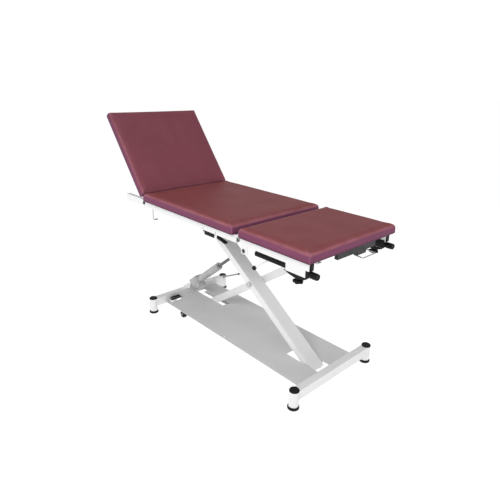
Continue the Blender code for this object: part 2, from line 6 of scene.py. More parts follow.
import bmesh
import bpy
import numpy as np
from mathutils import Matrix, Vector
from mathutils.bvhtree import BVHTree


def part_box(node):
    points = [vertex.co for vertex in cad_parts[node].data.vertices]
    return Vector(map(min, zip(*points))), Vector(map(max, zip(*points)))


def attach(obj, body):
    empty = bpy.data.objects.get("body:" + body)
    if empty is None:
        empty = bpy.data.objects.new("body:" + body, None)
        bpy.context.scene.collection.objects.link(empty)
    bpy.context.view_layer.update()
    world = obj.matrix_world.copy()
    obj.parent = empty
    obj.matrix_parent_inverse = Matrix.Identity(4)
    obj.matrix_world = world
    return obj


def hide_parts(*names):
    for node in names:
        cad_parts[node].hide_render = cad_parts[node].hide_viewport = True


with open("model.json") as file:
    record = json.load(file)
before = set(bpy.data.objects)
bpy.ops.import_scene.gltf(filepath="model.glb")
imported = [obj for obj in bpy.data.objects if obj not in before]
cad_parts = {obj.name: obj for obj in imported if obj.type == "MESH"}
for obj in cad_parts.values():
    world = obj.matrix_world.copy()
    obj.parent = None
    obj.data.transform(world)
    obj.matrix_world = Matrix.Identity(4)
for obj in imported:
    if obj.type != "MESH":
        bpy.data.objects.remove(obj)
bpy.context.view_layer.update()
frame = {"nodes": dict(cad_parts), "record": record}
NODES = frame["nodes"]
scene = bpy.context.scene
scene.view_settings.view_transform = "Standard"

low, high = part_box("base_cover")
MID = (low.x + high.x) / 2  # the centre of the base; most places below are given from it
BACK_TILT = math.radians(51.3)
BACK_HINGE = Vector((MID - 0.645, 0.0, 0.737))
ROD_Y = 0.2875
ROD_Z = 0.698


# ---- camera --------------------------------------------------------------------------
CAMERA_PLACE = (1.7267 + MID, -1.6328, 1.441)
CAMERA_TURN = (46.8956, 20.6353, 1.3321)  # azimuth, elevation and roll in degrees
LENS = 32.28


def make_camera():
    """A three-quarter view from the foot end and the near side, with a slight roll."""
    az, el, roll = map(math.radians, CAMERA_TURN)
    forward = Vector((-math.sin(az) * math.cos(el), math.cos(az) * math.cos(el), -math.sin(el)))
    right = Vector((math.cos(az), math.sin(az), 0.0))
    up = right.cross(forward)
    x = right * math.cos(roll) + up * math.sin(roll)
    y = up * math.cos(roll) - right * math.sin(roll)
    turn = Matrix((x, y, -forward)).transposed().to_4x4()
    data = bpy.data.cameras.new("camera")
    data.sensor_width = 36.0
    data.lens = LENS
    camera = bpy.data.objects.new("camera", data)
    camera.matrix_world = Matrix.Translation(CAMERA_PLACE) @ turn
    scene.collection.objects.link(camera)
    scene.camera = camera


make_camera()


# ---- lights and world ----------------------------------------------------------------
# The sky by the sine of its elevation: as strong as WALL below WALL_TOP, as CEILING above.
WALL_TOP, CEILING_FROM = 0.16, 0.27
WALL, CEILING = 1.04, 0.46
WARM = (1.0, 0.985, 0.97)


def area_light(name, place, target, size, power, colour=(1, 1, 1)):
    data = bpy.data.lights.new(name, "AREA")
    data.shape = "RECTANGLE"
    data.size, data.size_y = size
    data.energy = power
    data.color = colour
    lamp = bpy.data.objects.new(name, data)
    lamp.location = place
    lamp.rotation_euler = (Vector(target) - Vector(place)).to_track_quat("-Z", "Y").to_euler()
    scene.collection.objects.link(lamp)


def studio_world():
    """A white cyclorama up to just above eye level, with a softer grey ceiling over it."""
    world = bpy.data.worlds.new("studio")
    scene.world = world
    world.use_nodes = True
    nodes, links = world.node_tree.nodes, world.node_tree.links
    coord = nodes.new("ShaderNodeTexCoord")
    parts = nodes.new("ShaderNodeSeparateXYZ")
    above = nodes.new("ShaderNodeMapRange")
    above.interpolation_type = "SMOOTHSTEP"
    for key, value in (
        ("From Min", WALL_TOP), ("From Max", CEILING_FROM), ("To Min", WALL), ("To Max", CEILING)
    ):
        above.inputs[key].default_value = value
    sky = nodes["Background"]
    sky.inputs["Color"].default_value = (1.0, 1.0, 1.0, 1.0)
    links.new(coord.outputs["Generated"], parts.inputs[0])
    links.new(parts.outputs["Z"], above.inputs["Value"])
    links.new(above.outputs["Result"], sky.inputs["Strength"])


studio_world()
area_light("key", (0.7, -3.2, 2.9), (0.0, 0.0, 0.5), (2.2, 1.8), 60.0, WARM)
area_light("top", (0.3, 0.2, 3.6), (0.0, 0.0, 0.6), (2.6, 2.0), 26.0)
area_light("foot_fill", (2.9, -0.5, 1.9), (0.1, 0.0, 0.3), (1.8, 1.4), 12.0)


# ---- materials -----------------------------------------------------------------------
MIX_FACTOR, MIX_FIRST, MIX_SECOND, MIX_RESULT = 0, 6, 7, 2  # a colour Mix node's sockets


class Look:
    """A Principled material with object-space noise driving colour, roughness and bump."""

    def __init__(self, name, roughness, metallic=0.0, specular=0.5):
        self.material = bpy.data.materials.new(name)
        self.material.use_nodes = True
        self.tree = self.material.node_tree
        self.shader = self.tree.nodes["Principled BSDF"]
        self.shader.inputs["Roughness"].default_value = roughness
        self.shader.inputs["Metallic"].default_value = metallic
        self.shader.inputs["Specular IOR Level"].default_value = specular
        self.coord = self.node("ShaderNodeTexCoord").outputs["Object"]
        self.bump_in = None

    def node(self, kind, **values):
        made = self.tree.nodes.new(kind)
        for key, value in values.items():
            setattr(made, key, value)
        return made

    def link(self, a, b):
        self.tree.links.new(a, b)

    def mapped(self, stretch):
        made = self.node("ShaderNodeMapping")
        made.inputs["Scale"].default_value = stretch
        self.link(self.coord, made.inputs["Vector"])
        return made.outputs["Vector"]

    def attribute(self, name):
        return self.node("ShaderNodeAttribute", attribute_name=name).outputs["Fac"]

    def product(self, first, second):
        made = self.node("ShaderNodeMath", operation="MULTIPLY")
        self.link(first, made.inputs[0])
        self.link(second, made.inputs[1])
        return made.outputs["Value"]

    def mix(self, factor, first, second):
        """first where factor is 0, second where it is 1; second may be a plain colour."""
        made = self.node("ShaderNodeMix", data_type="RGBA")
        self.link(factor, made.inputs[MIX_FACTOR])
        self.link(first, made.inputs[MIX_FIRST])
        if isinstance(second, tuple):
            made.inputs[MIX_SECOND].default_value = (*second, 1.0)
        else:
            self.link(second, made.inputs[MIX_SECOND])
        return made.outputs[MIX_RESULT]

    def noise(self, scale, detail=3.0, rough=0.5, stretch=None):
        made = self.node("ShaderNodeTexNoise")
        made.inputs["Scale"].default_value = scale
        made.inputs["Detail"].default_value = detail
        made.inputs["Roughness"].default_value = rough
        self.link(self.coord if stretch is None else self.mapped(stretch), made.inputs["Vector"])
        return made.outputs["Fac"]

    def cells(self, scale):
        made = self.node("ShaderNodeTexVoronoi", feature="DISTANCE_TO_EDGE")
        made.inputs["Scale"].default_value = scale
        self.link(self.coord, made.inputs["Vector"])
        return made.outputs["Distance"]

    def ramp(self, value, stops):
        made = self.node("ShaderNodeValToRGB")
        element = made.color_ramp.elements
        while len(element) < len(stops):
            element.new(0.5)
        for slot, (place, colour) in zip(element, stops):
            slot.position = place
            slot.color = (*colour, 1.0)
        self.link(value, made.inputs["Fac"])
        return made.outputs["Color"]

    def colour(self, value):
        self.link(value, self.shader.inputs["Base Color"])

    def roughness(self, value, low, high):
        made = self.node("ShaderNodeMapRange")
        made.inputs["To Min"].default_value = low
        made.inputs["To Max"].default_value = high
        self.link(value, made.inputs["Value"])
        self.link(made.outputs["Result"], self.shader.inputs["Roughness"])

    def bump(self, value, strength, distance):
        made = self.node("ShaderNodeBump")
        made.inputs["Strength"].default_value = strength
        made.inputs["Distance"].default_value = distance
        self.link(value, made.inputs["Height"])
        if self.bump_in is not None:
            self.link(self.bump_in, made.inputs["Normal"])
        self.bump_in = made.outputs["Normal"]
        self.link(self.bump_in, self.shader.inputs["Normal"])


def shade(colour, by):
    return tuple(min(1.0, c * by) for c in colour)


def paint(name, colour, roughness=0.36, vary=0.04, specular=0.35):
    """Powder coat: faint orange peel, slightly uneven gloss, a touch of dulling in patches."""
    look = Look(name, roughness, 0.0, specular)
    patches = look.noise(6.0, 4.0, 0.6)
    dull, clean = shade(colour, 1 - vary), shade(colour, 1 + vary * 0.4)
    look.colour(look.ramp(patches, ((0.30, dull), (0.70, clean))))
    look.roughness(look.noise(35.0, 3.0), roughness - 0.05, roughness + 0.08)
    look.bump(look.noise(900.0, 2.0), 0.10, 0.0004)
    return look.material


def metal(name, colour, roughness):
    """Bright or dark steel with fine drawing lines and small stains."""
    look = Look(name, roughness, 1.0)
    lines = look.noise(30.0, 5.0, 0.65, (40, 4, 40))
    look.colour(look.ramp(lines, ((0.25, shade(colour, 0.86)), (0.75, shade(colour, 1.08)))))
    look.roughness(look.noise(60.0, 3.0), roughness - 0.07, roughness + 0.10)
    look.bump(lines, 0.06, 0.0003)
    return look.material


def plastic(name, colour, roughness=0.42, grain=700.0, specular=0.16):
    """Moulded black or grey plastic with a spark-eroded texture and rubbed edges."""
    look = Look(name, roughness, 0.0, specular)
    wear = look.noise(22.0, 5.0, 0.6)
    look.colour(look.ramp(wear, ((0.35, colour), (0.80, shade(colour, 1.55)))))
    look.roughness(look.noise(120.0, 4.0), roughness - 0.06, roughness + 0.12)
    look.bump(look.cells(grain), 0.16, 0.0003)
    return look.material


def vinyl(name, top, side, highlight_colour):
    """Upholstery vinyl: a warm lying face, painted shade in a cooler colour on the sides, a painted
    highlight over the rounded top edges and painted shade along the bottom rim.
    """
    look = Look(name, 0.50, 0.0, 0.06)
    cloud = look.noise(5.0, 5.0, 0.6)
    face = look.ramp(cloud, ((0.25, shade(top, 0.93)), (0.75, shade(top, 1.06))))
    edge = look.ramp(cloud, ((0.25, shade(side, 0.92)), (0.75, shade(side, 1.08))))
    # Painted shade: faces that turn away from the top light take the cooler side colour.
    tone = look.mix(look.attribute("painted_side_shade"), face, edge)
    # Painted highlight: a paler colour where the top rounds over, broken up by noise.
    highlight_mask = look.product(look.attribute("painted_edge_highlight"), look.noise(11.0, 3.0, 0.55))
    pale = look.mix(highlight_mask, tone, highlight_colour)
    # Painted shade: darker towards the bottom rim.
    look.colour(look.mix(look.attribute("painted_low_shade"), pale, shade(side, 0.22)))
    look.roughness(look.noise(9.0, 4.0, 0.6), 0.40, 0.54)
    look.bump(look.cells(420.0), 0.22, 0.0005)
    look.bump(look.noise(1500.0, 2.0), 0.08, 0.0002)
    look.bump(look.noise(14.0, 3.0, 0.5), 0.10, 0.004)
    return look.material


def woven(name, colour):
    """The thin woven lining under each pad."""
    look = Look(name, 0.85, 0.0, 0.2)
    threads = []
    for direction in "XY":
        made = look.node("ShaderNodeTexWave", bands_direction=direction)
        made.inputs["Scale"].default_value = 260.0
        look.link(look.coord, made.inputs["Vector"])
        threads.append(made.outputs["Fac"])
    cross = look.product(*threads)
    look.colour(look.ramp(cross, ((0.1, shade(colour, 0.75)), (0.9, shade(colour, 1.25)))))
    look.bump(cross, 0.35, 0.0004)
    return look.material


WHITE = paint("white_powder_coat", (0.82, 0.82, 0.825), 0.34)
# A brighter copy of the white paint for the arms: painted light that lifts the shade they lie in
# under the pads.
BRIGHTENED_ARM_WHITE = paint("arm_brightened_white", (0.84, 0.84, 0.845), 0.38)
COVER = paint("cover_powder_coat", (0.70, 0.70, 0.705), 0.42, 0.05)
GREY = paint("grey_powder_coat", (0.40, 0.40, 0.41), 0.45)
SATIN = paint("black_powder_coat", (0.010, 0.010, 0.011), 0.40, 0.12, 0.14)
CASTING = plastic("drive_housing", (0.36, 0.36, 0.365), 0.40, 500.0, 0.3)
STEEL = metal("bright_steel", (0.60, 0.61, 0.63), 0.28)
DARK = metal("dark_steel", (0.055, 0.055, 0.058), 0.36)
ROD = paint("drive_rod_steel", (0.12, 0.12, 0.122), 0.32, 0.10, 0.5)
BLACK = plastic("black_plastic", (0.006, 0.006, 0.007), 0.38)
RUBBER = plastic("black_rubber", (0.010, 0.010, 0.011), 0.60, 500.0)
# The second colour is painted shade for the sides, and the third a painted highlight over the
# edges.
VINYL = vinyl("burgundy_vinyl", (0.174, 0.043, 0.045), (0.188, 0.058, 0.112), (0.38, 0.15, 0.18))
LINING = woven("lining", (0.035, 0.035, 0.038))
SEAM = paint("seam_thread", (0.30, 0.12, 0.22), 0.5, 0.1)

SLOT_LOOKS = {
    "white_paint": WHITE,
    "cover_paint": COVER,
    "grey_paint": GREY,
    "grey_casting": CASTING,
    "bright_steel": STEEL,
    "dark_steel": DARK,
    "black_paint": SATIN,
    "black_plastic": BLACK,
    "black_rubber": RUBBER,
    "vinyl": VINYL,
}
for part in frame["record"]["subparts"]:
    piece = NODES[part["node"]]
    look = SLOT_LOOKS[part["material_slot"]]
    # The arms take the brighter white: painted light.
    if part["node"].startswith("scissor_arm"):
        look = BRIGHTENED_ARM_WHITE
    if part["node"] == "actuator_rod":
        look = ROD
    # The base rails take the white paint as painted light that keeps the cover's windows bright;
    # the transport levers take it too.
    if part["node"].startswith(("transport_lever", "base_rail")):
        look = WHITE
    piece.data.materials.clear()
    piece.data.materials.append(look)


# ---- mesh helpers --------------------------------------------------------------------
def put(name, bm, look, body, smooth=35.0):
    """A finished mesh becomes a piece that rides on a body; smooth is its sharp-edge angle."""
    bmesh.ops.remove_doubles(bm, verts=bm.verts, dist=1e-6)
    bmesh.ops.recalc_face_normals(bm, faces=bm.faces)
    mesh = bpy.data.meshes.new(name)
    bm.to_mesh(mesh)
    bm.free()
    obj = bpy.data.objects.new(name, mesh)
    scene.collection.objects.link(obj)
    mesh.materials.append(look)
    for polygon in mesh.polygons:
        polygon.use_smooth = True
    mesh.set_sharp_from_angle(angle=math.radians(smooth))
    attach(obj, body)
    return obj


def axes(axis):
    """Two directions across a named axis, then its own."""
    return {
        "x": (Vector((0, 1, 0)), Vector((0, 0, 1)), Vector((1, 0, 0))),
        "y": (Vector((1, 0, 0)), Vector((0, 0, 1)), Vector((0, 1, 0))),
        "z": (Vector((1, 0, 0)), Vector((0, 1, 0)), Vector((0, 0, 1))),
    }[axis]


def skin(bm, rings):
    """Faces between each ring of points and the next; a ring of one point is a tip."""
    for first, second in zip(rings, rings[1:]):
        steps = max(len(first), len(second))
        for i in range(steps):
            j = (i + 1) % steps
            if len(first) == 1:
                bm.faces.new((first[0], second[i], second[j]))
            elif len(second) == 1:
                bm.faces.new((first[i], first[j], second[0]))
            else:
                bm.faces.new((first[i], first[j], second[j], second[i]))


def lathe(bm, profile, axis, centre, steps=36, wave=None):
    """Turns (along, radius) pairs about an axis; wave(angle) scales the radius."""
    u, v, w = axes(axis)
    middle = Vector(centre)
    rings = []
    for along, radius in profile:
        here = middle + w * along
        if radius < 1e-9:
            rings.append([bm.verts.new(here)])
            continue
        ring = []
        for i in range(steps):
            angle = 2 * math.pi * i / steps
            reach = radius * (wave(angle) if wave else 1.0)
            ring.append(bm.verts.new(here + (u * math.cos(angle) + v * math.sin(angle)) * reach))
        rings.append(ring)
    skin(bm, rings)
    return bm


def flat_ring(low, high, inner, outer):
    """The closed profile of a washer, for lathe."""
    return ((low, inner), (low, outer), (high, outer), (high, inner), (low, inner))


def soft_box(bm, x, y, z, edge=0.001, steps=2):
    """A box with rounded edges, added to bm."""
    made = bmesh.ops.create_cube(bm, size=1.0)["verts"]
    size = (x[1] - x[0], y[1] - y[0], z[1] - z[0])
    centre = Vector(((x[0] + x[1]) / 2, (y[0] + y[1]) / 2, (z[0] + z[1]) / 2))
    for vert in made:
        vert.co = Vector((vert.co.x * size[0], vert.co.y * size[1], vert.co.z * size[2])) + centre
    edges = list({e for vert in made for e in vert.link_edges})
    bmesh.ops.bevel(
        bm, geom=edges, offset=edge, segments=steps, profile=0.5, affect="EDGES", clamp_overlap=True
    )


def tube(bm, points, radius, steps=10):
    """A round tube along points with flat ends, added to bm."""
    line = [Vector(p) for p in points]
    side = None
    rings = []
    for i, here in enumerate(line):
        ahead = (line[min(i + 1, len(line) - 1)] - line[max(i - 1, 0)]).normalized()
        if side is None:
            side = ahead.orthogonal().normalized()
        side = (side - ahead * side.dot(ahead)).normalized()
        other = ahead.cross(side)
        ring = []
        for k in range(steps):
            a = 2 * math.pi * k / steps
            ring.append(bm.verts.new(here + (side * math.cos(a) + other * math.sin(a)) * radius))
        rings.append(ring)
    skin(bm, rings)
    bm.faces.new(rings[0])
    bm.faces.new(rings[-1])


def at(x, y, z):
    """A point given from the centre of the base."""
    return Vector((x + MID, y, z))


# ---- cushions ------------------------------------------------------------------------
CORNER_ROUND, TOP_ROUND, RIM_ROUND = 0.007, 0.023, 0.004
VOXEL = 0.006
HELD_BELOW = 0.004
CLOTH_FRAMES = 20
CLOTH = {
    "quality": 6,
    "mass": 0.35,
    "tension_stiffness": 22,
    "compression_stiffness": 18,
    "shear_stiffness": 10,
    "bending_stiffness": 1.2,
    "use_pressure": True,
    "uniform_pressure_force": 4.0,
    "vertex_group_mass": "held",
}
MOST_BULGE = 0.004  # how far the air may push a point
BULGE_FROM = 0.012  # height at which the bulge is whole
CROWN, WAIST, CREASE = 0.0018, 0.0012, 0.0006
CREASE_REACH = 0.055
SLACK = 0.002  # how far the shaped pad may pass its box before it is fitted to it
LINING_INSET = 0.026
SEAM_RADIUS = 0.0011
SEAM_STEPS = 12


def baked(obj):
    """The object's mesh with its modifiers applied and cleared."""
    bpy.context.view_layer.update()
    graph = bpy.context.evaluated_depsgraph_get()
    mesh = bpy.data.meshes.new_from_object(obj.evaluated_get(graph), depsgraph=graph)
    obj.modifiers.clear()
    return mesh


def pad_block(name, size):
    """A block standing on z = 0, centred in x and y, with rounded edges and an even mesh."""
    length, width, depth = size
    bm = bmesh.new()
    bmesh.ops.create_cube(bm, size=1.0)
    for vert in bm.verts:
        low = vert.co.z < 0
        pull = 0.0015 if low else 0.0005
        vert.co.x *= length - 2 * pull
        vert.co.y *= width - 2 * pull
        vert.co.z = 0.0 if low else depth - 0.0015
    upright = [e for e in bm.edges if abs(e.verts[0].co.z - e.verts[1].co.z) > 0.001]
    bmesh.ops.bevel(bm, geom=upright, offset=CORNER_ROUND, segments=4, profile=0.5, affect="EDGES")
    top = [e for e in bm.edges if min(v.co.z for v in e.verts) > depth / 2]
    bmesh.ops.bevel(bm, geom=top, offset=TOP_ROUND, segments=8, profile=0.5, affect="EDGES")
    rim = [e for e in bm.edges if max(v.co.z for v in e.verts) < 1e-5]
    bmesh.ops.bevel(bm, geom=rim, offset=RIM_ROUND, segments=2, profile=0.5, affect="EDGES")
    mesh = bpy.data.meshes.new(name)
    bm.to_mesh(mesh)
    bm.free()
    obj = bpy.data.objects.new(name, mesh)
    scene.collection.objects.link(obj)
    remesh = obj.modifiers.new("remesh", "REMESH")
    remesh.mode = "VOXEL"
    remesh.voxel_size = VOXEL
    obj.data = baked(obj)
    return obj


def blown_up(obj, rest):
    """Where the points go when air pressure pushes the cloth out from its held foot."""
    held = obj.vertex_groups.new(name="held")
    held.add([i for i, p in enumerate(rest) if p[2] < HELD_BELOW], 1.0, "REPLACE")
    cloth = obj.modifiers.new("cloth", "CLOTH")
    for key, value in CLOTH.items():
        setattr(cloth.settings, key, value)
    cloth.settings.effector_weights.gravity = 0.0
    cloth.collision_settings.use_collision = False
    cloth.point_cache.frame_start = 1
    cloth.point_cache.frame_end = CLOTH_FRAMES
    for step in range(1, CLOTH_FRAMES + 1):
        scene.frame_set(step)
    graph = bpy.context.evaluated_depsgraph_get()
    moved = np.array([v.co for v in obj.evaluated_get(graph).data.vertices])
    obj.modifiers.clear()
    obj.vertex_groups.clear()
    scene.frame_set(1)
    return moved


def upholstered(rest, moved, size, lean):
    """The bulge, held back near the foot, with a crown, sides drawn in between the corners,
    small creases that run out of each corner, and the foot of the head end leaning out."""
    length, width, depth = size
    shift = moved - rest
    far = np.linalg.norm(shift, axis=1, keepdims=True)
    shift = shift * np.minimum(1.0, MOST_BULGE / np.maximum(far, 1e-9))
    shift *= np.clip(rest[:, 2:3] / BULGE_FROM, 0.0, 1.0)
    shift[:, :2] *= 0.4
    final = rest + shift
    u = 2 * rest[:, 0] / length
    v = 2 * rest[:, 1] / width
    rise = np.clip(rest[:, 2] / depth, 0.0, 1.0)
    final[:, 2] += CROWN * np.clip((1 - u**2) * (1 - v**2), 0, 1) * rise
    final[:, 0] -= WAIST * np.sign(u) * (np.abs(u) > 0.9) * np.clip(1 - v**2, 0, 1) * rise
    final[:, 1] -= WAIST * np.sign(v) * (np.abs(v) > 0.9) * np.clip(1 - u**2, 0, 1) * rise
    final[:, 0] -= lean * np.clip((-u - 0.88) / 0.12, 0, 1) ** 2 * (1 - rise)
    from_end = length / 2 - np.abs(rest[:, 0])
    from_side = width / 2 - np.abs(rest[:, 1])
    fade = np.exp(-((np.hypot(from_end, from_side) / CREASE_REACH) ** 2))
    rays = np.cos(np.arctan2(from_side, from_end + 1e-6) * 9.0)
    crease = CREASE * fade * rays * np.clip(rest[:, 2] / 0.02, 0, 1)
    final[:, 2] += crease * (rest[:, 2] > depth * 0.6)
    final[:, 2] = np.clip(final[:, 2], 0.0002, depth + SLACK)
    final[:, 0] = np.clip(final[:, 0], -length / 2 - SLACK - lean, length / 2 + SLACK)
    final[:, 1] = np.clip(final[:, 1], -width / 2 - SLACK, width / 2 + SLACK)
    return final


def fitted(points, size, lean):
    """The points scaled to the pad's own box, a hair larger than its solid."""
    length, width, depth = size
    near_end, far_end = points.min(axis=0), points.max(axis=0)
    want = np.array((length + 0.001 + lean, width + 0.001, depth + 0.0015))
    points = (points - (near_end + far_end) / 2) * (want / (far_end - near_end))
    return points + np.array((-lean / 2, 0.0, want[2] / 2))


def write_painted_light(mesh, points, length, painted_shading):
    """The three attributes that the vinyl reads, all painted light: shade on the sides, a highlight
    where the top rounds over, and shade towards the bottom rim.
    """
    up = np.array([v.normal.z for v in mesh.vertices])
    along = 2 * points[:, 0] / length
    low = np.clip(1.0 - points[:, 2] / 0.013, 0.0, 1.0)
    # The last argument adds painted shade to the whole lying face, more towards the pad's -x end
    # (the upper end of the back pad).
    for name, value in (
        ("painted_side_shade", np.maximum(np.clip((0.86 - up) / 0.55, 0.0, 1.0), painted_shading)),
        ("painted_edge_highlight", np.exp(-(((up - 0.66) / 0.24) ** 2))),
        ("painted_low_shade", np.maximum(low, painted_shading * (0.50 - 0.30 * along))),
    ):
        layer = mesh.attributes.new(name, "FLOAT", "POINT")
        layer.data.foreach_set("value", value.astype(np.float32))


def corner_seams(mesh, size):
    """A thin welt up each corner, laid on the pad's surface."""
    length, width, depth = size
    tree = BVHTree.FromPolygons(
        [v.co for v in mesh.vertices], [p.vertices[:] for p in mesh.polygons]
    )
    seams = bmesh.new()
    for sx in (-1, 1):
        for sy in (-1, 1):
            outward = Vector((sx, sy, 0.0)).normalized()
            line = []
            for k in range(SEAM_STEPS + 1):
                z = 0.004 + (depth - 0.010) * k / SEAM_STEPS
                inner = Vector((sx * (length / 2 - 0.02), sy * (width / 2 - 0.02), z))
                hit = tree.ray_cast(inner + outward * 0.06, -outward)[0]
                if hit is not None:
                    line.append(hit - outward * 0.0002)
            if len(line) > 3:
                tube(seams, line, SEAM_RADIUS, 8)
    return seams


def cushion(name, node, body, size, place, lean=0.0, painted_shading=0.0):
    """An upholstered pad, inflated as cloth inside its solid's box. size is length, width, depth;
    place maps a box standing on z = 0, centred in x and y, to the couch. lean draws the foot of
    the head end out. The last argument is painted shade: it shifts the lying face towards the
    shaded side colour and darkens it more towards the pad's -x end."""
    length, width, _ = size
    obj = pad_block(name, size)
    rest = np.array([v.co for v in obj.data.vertices])
    moved = blown_up(obj, rest)
    final = upholstered(rest, moved, size, lean)
    obj.data.vertices.foreach_set("co", final.astype(np.float32).ravel())
    obj.data.update()
    smooth = obj.modifiers.new("smooth", "SMOOTH")
    smooth.factor = 0.3
    smooth.iterations = 2
    finer = obj.modifiers.new("finer", "SUBSURF")
    finer.levels = finer.render_levels = 1
    mesh = obj.data = baked(obj)
    points = fitted(np.array([v.co for v in mesh.vertices]), size, lean)
    mesh.vertices.foreach_set("co", points.astype(np.float32).ravel())
    mesh.update()
    mesh.materials.clear()
    mesh.materials.append(VINYL)
    mesh.materials.append(LINING)
    write_painted_light(mesh, points, length, painted_shading)
    for polygon in mesh.polygons:
        polygon.use_smooth = True
        x, y, z = polygon.center
        under = z < 0.0025 and polygon.normal.z < -0.9
        inside = abs(x) < length / 2 - LINING_INSET and abs(y) < width / 2 - LINING_INSET
        polygon.material_index = 1 if under and inside else 0
    seams = corner_seams(mesh, size)
    mesh.transform(place)
    bmesh.ops.transform(seams, matrix=place, verts=seams.verts)
    put(name + "_seams", seams, SEAM, body, 60.0)
    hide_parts(node)
    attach(obj, body)


def box_of(node):
    """The size of a node's box and the middle of its underside."""
    low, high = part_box(node)
    size = (high.x - low.x, high.y - low.y, high.z - low.z)
    return size, Vector(((low.x + high.x) / 2, 0.0, low.z))


BACK_PAD = (0.572, 0.650, 0.054)
BACK_PAD_PLACE = (-(0.030 + 0.602) / 2, 0.0, 0.0175)  # in the tilted back section
SEAT_LEAN = 0.009
# Painted shade on the back pad: a cooler, darker lying face, darkest at its upper end.
BACK_PAINTED_SHADE = 0.30

size, foot = box_of("seat_pad")
cushion("seat_cushion", "seat_pad", "seat_frame", size, Matrix.Translation(foot), SEAT_LEAN)
size, foot = box_of("leg_pad")
cushion("leg_cushion", "leg_pad", "leg_section", size, Matrix.Translation(foot))
tilt = Matrix.Translation(BACK_HINGE) @ Matrix.Rotation(BACK_TILT, 4, "Y")
place = tilt @ Matrix.Translation(BACK_PAD_PLACE)
cushion("back_cushion", "back_pad", "back_section", BACK_PAD, place, 0.0, BACK_PAINTED_SHADE)


# ---- foot end clamps, rods and knobs -------------------------------------------------
SIDES = (("near", -1), ("far", 1))
RIB_PITCH = 0.0062


def ribbed_sleeve(side, sy):
    """A hollow rubber sleeve with a smooth collar and a row of ribs."""
    start, stop = MID + 0.335, MID + 0.5282
    bore, chamfer, collar = 0.0090, 0.0138, 0.0147
    groove, crest = 0.0132, 0.0146
    profile = [(start, bore), (start, chamfer), (start + 0.001, collar), (start + 0.006, collar)]
    for i in range(int((stop - start - 0.012) / RIB_PITCH)):
        x = start + 0.006 + i * RIB_PITCH
        profile += [
            (x + 0.0008, groove), (x + 0.0020, groove), (x + 0.0030, crest), (x + 0.0056, crest)
        ]
    profile += [(stop - 0.001, crest), (stop, chamfer), (stop, bore), (start, bore)]
    bm = lathe(bmesh.new(), profile, "x", (0.0, sy * ROD_Y, ROD_Z), 32)
    sleeve = put("ribbed_sleeve_" + side, bm, RUBBER, "leg_section", 30.0)
    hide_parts("rod_sleeve_" + side)


def end_knob(side, sy):
    """A support rod with a fluted end knob and a recessed end disc."""
    x0, x1, x2 = MID + 0.345, MID + 0.659, MID + 0.700
    centre = (0.0, sy * ROD_Y, ROD_Z)
    bar = ((x0, 0.0), (x0, 0.007), (x0 + 0.001, 0.008), (x1 + 0.002, 0.008), (x1 + 0.002, 0.0))
    rod = lathe(bmesh.new(), bar, "x", centre, 28)
    put("rod_bar_" + side, rod, STEEL, "support_rod_" + side)
    profile = (
        (x1, 0.0), (x1, 0.0125), (x1 + 0.0012, 0.0140), (x1 + 0.005, 0.0142), (x1 + 0.006, 0.0150),
        (x2 - 0.008, 0.0150), (x2 - 0.007, 0.0143), (x2 - 0.003, 0.0143), (x2 - 0.001, 0.0134),
        (x2, 0.0118), (x2, 0.0095), (x2 - 0.0018, 0.0088), (x2 - 0.0018, 0.0),
    )

    def flutes(angle):
        return 1.0 - 0.055 * (math.cos(12 * angle) < -0.35)

    fluted = lathe(bmesh.new(), profile, "x", centre, 96, flutes)
    knob = put("end_knob_" + side, fluted, BLACK, "support_rod_" + side, 28.0)
    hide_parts("support_rod_" + side)


def star_knob(side, sy):
    """A five-lobed clamp knob with a domed face and a steel stud."""
    centre = at(0.595, sy * ROD_Y, 0.650)
    body = "star_knob_" + side
    profile = (
        (-0.0100, 0.0), (-0.0100, 0.0090), (-0.0098, 0.0170), (-0.0085, 0.0205), (-0.0060, 0.0222),
        (-0.0010, 0.0228), (0.0030, 0.0218), (0.0052, 0.0190), (0.0060, 0.0140), (0.0060, 0.0105),
        (0.0105, 0.0085), (0.0105, 0.0),
    )

    def lobes(angle):
        return 1.0 + 0.115 * math.cos(5 * angle)

    star = lathe(bmesh.new(), profile, "z", centre, 80, lobes)
    knob = put("clamp_star_" + side, star, BLACK, body, 50.0)
    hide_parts("star_knob_" + side)
    stud = ((0.0100, 0.0), (0.0100, 0.0040), (0.0205, 0.0040), (0.0205, 0.0))
    stud = lathe(bmesh.new(), stud, "z", centre, 20)
    put("clamp_stud_" + side, stud, STEEL, body)
    cap = ((-0.0112, 0.0), (-0.0112, 0.0050), (-0.0102, 0.0062), (-0.0096, 0.0062))
    cap = lathe(bmesh.new(), cap, "z", centre, 24)
    put("clamp_cap_" + side, cap, GREY, body)


def rail_plug(side, sy):
    """The plastic plug that closes a leg rail, with its collar."""
    y = sorted((sy * 0.2755, sy * 0.2995))
    plug = bmesh.new()
    soft_box(plug, (MID + 0.6603, MID + 0.6655), y, (0.7146, 0.7532), 0.0022, 3)
    inner = (y[0] + 0.002, y[1] - 0.002)
    soft_box(plug, (MID + 0.6500, MID + 0.6610), inner, (0.7165, 0.7512), 0.001, 1)
    put("rail_plug_" + side, plug, BLACK, "leg_section")


def clamp_web(side, sy):
    """The thin plate that ties a rod clamp to its rail."""
    web = bmesh.new()
    y = sorted((sy * 0.2722, sy * 0.2749))
    soft_box(web, (MID + 0.5960, MID + 0.6570), y, (0.6815, 0.7225), 0.0008, 2)
    put("clamp_web_" + side, web, SATIN, "leg_section")


for side, sy in SIDES:
    ribbed_sleeve(side, sy)
    end_knob(side, sy)
    star_knob(side, sy)
    rail_plug(side, sy)
    clamp_web(side, sy)


# ---- release levers ------------------------------------------------------------------
LEVER_Y = -0.267
RIB_COUNT, RIB_STEP = 9, 0.008

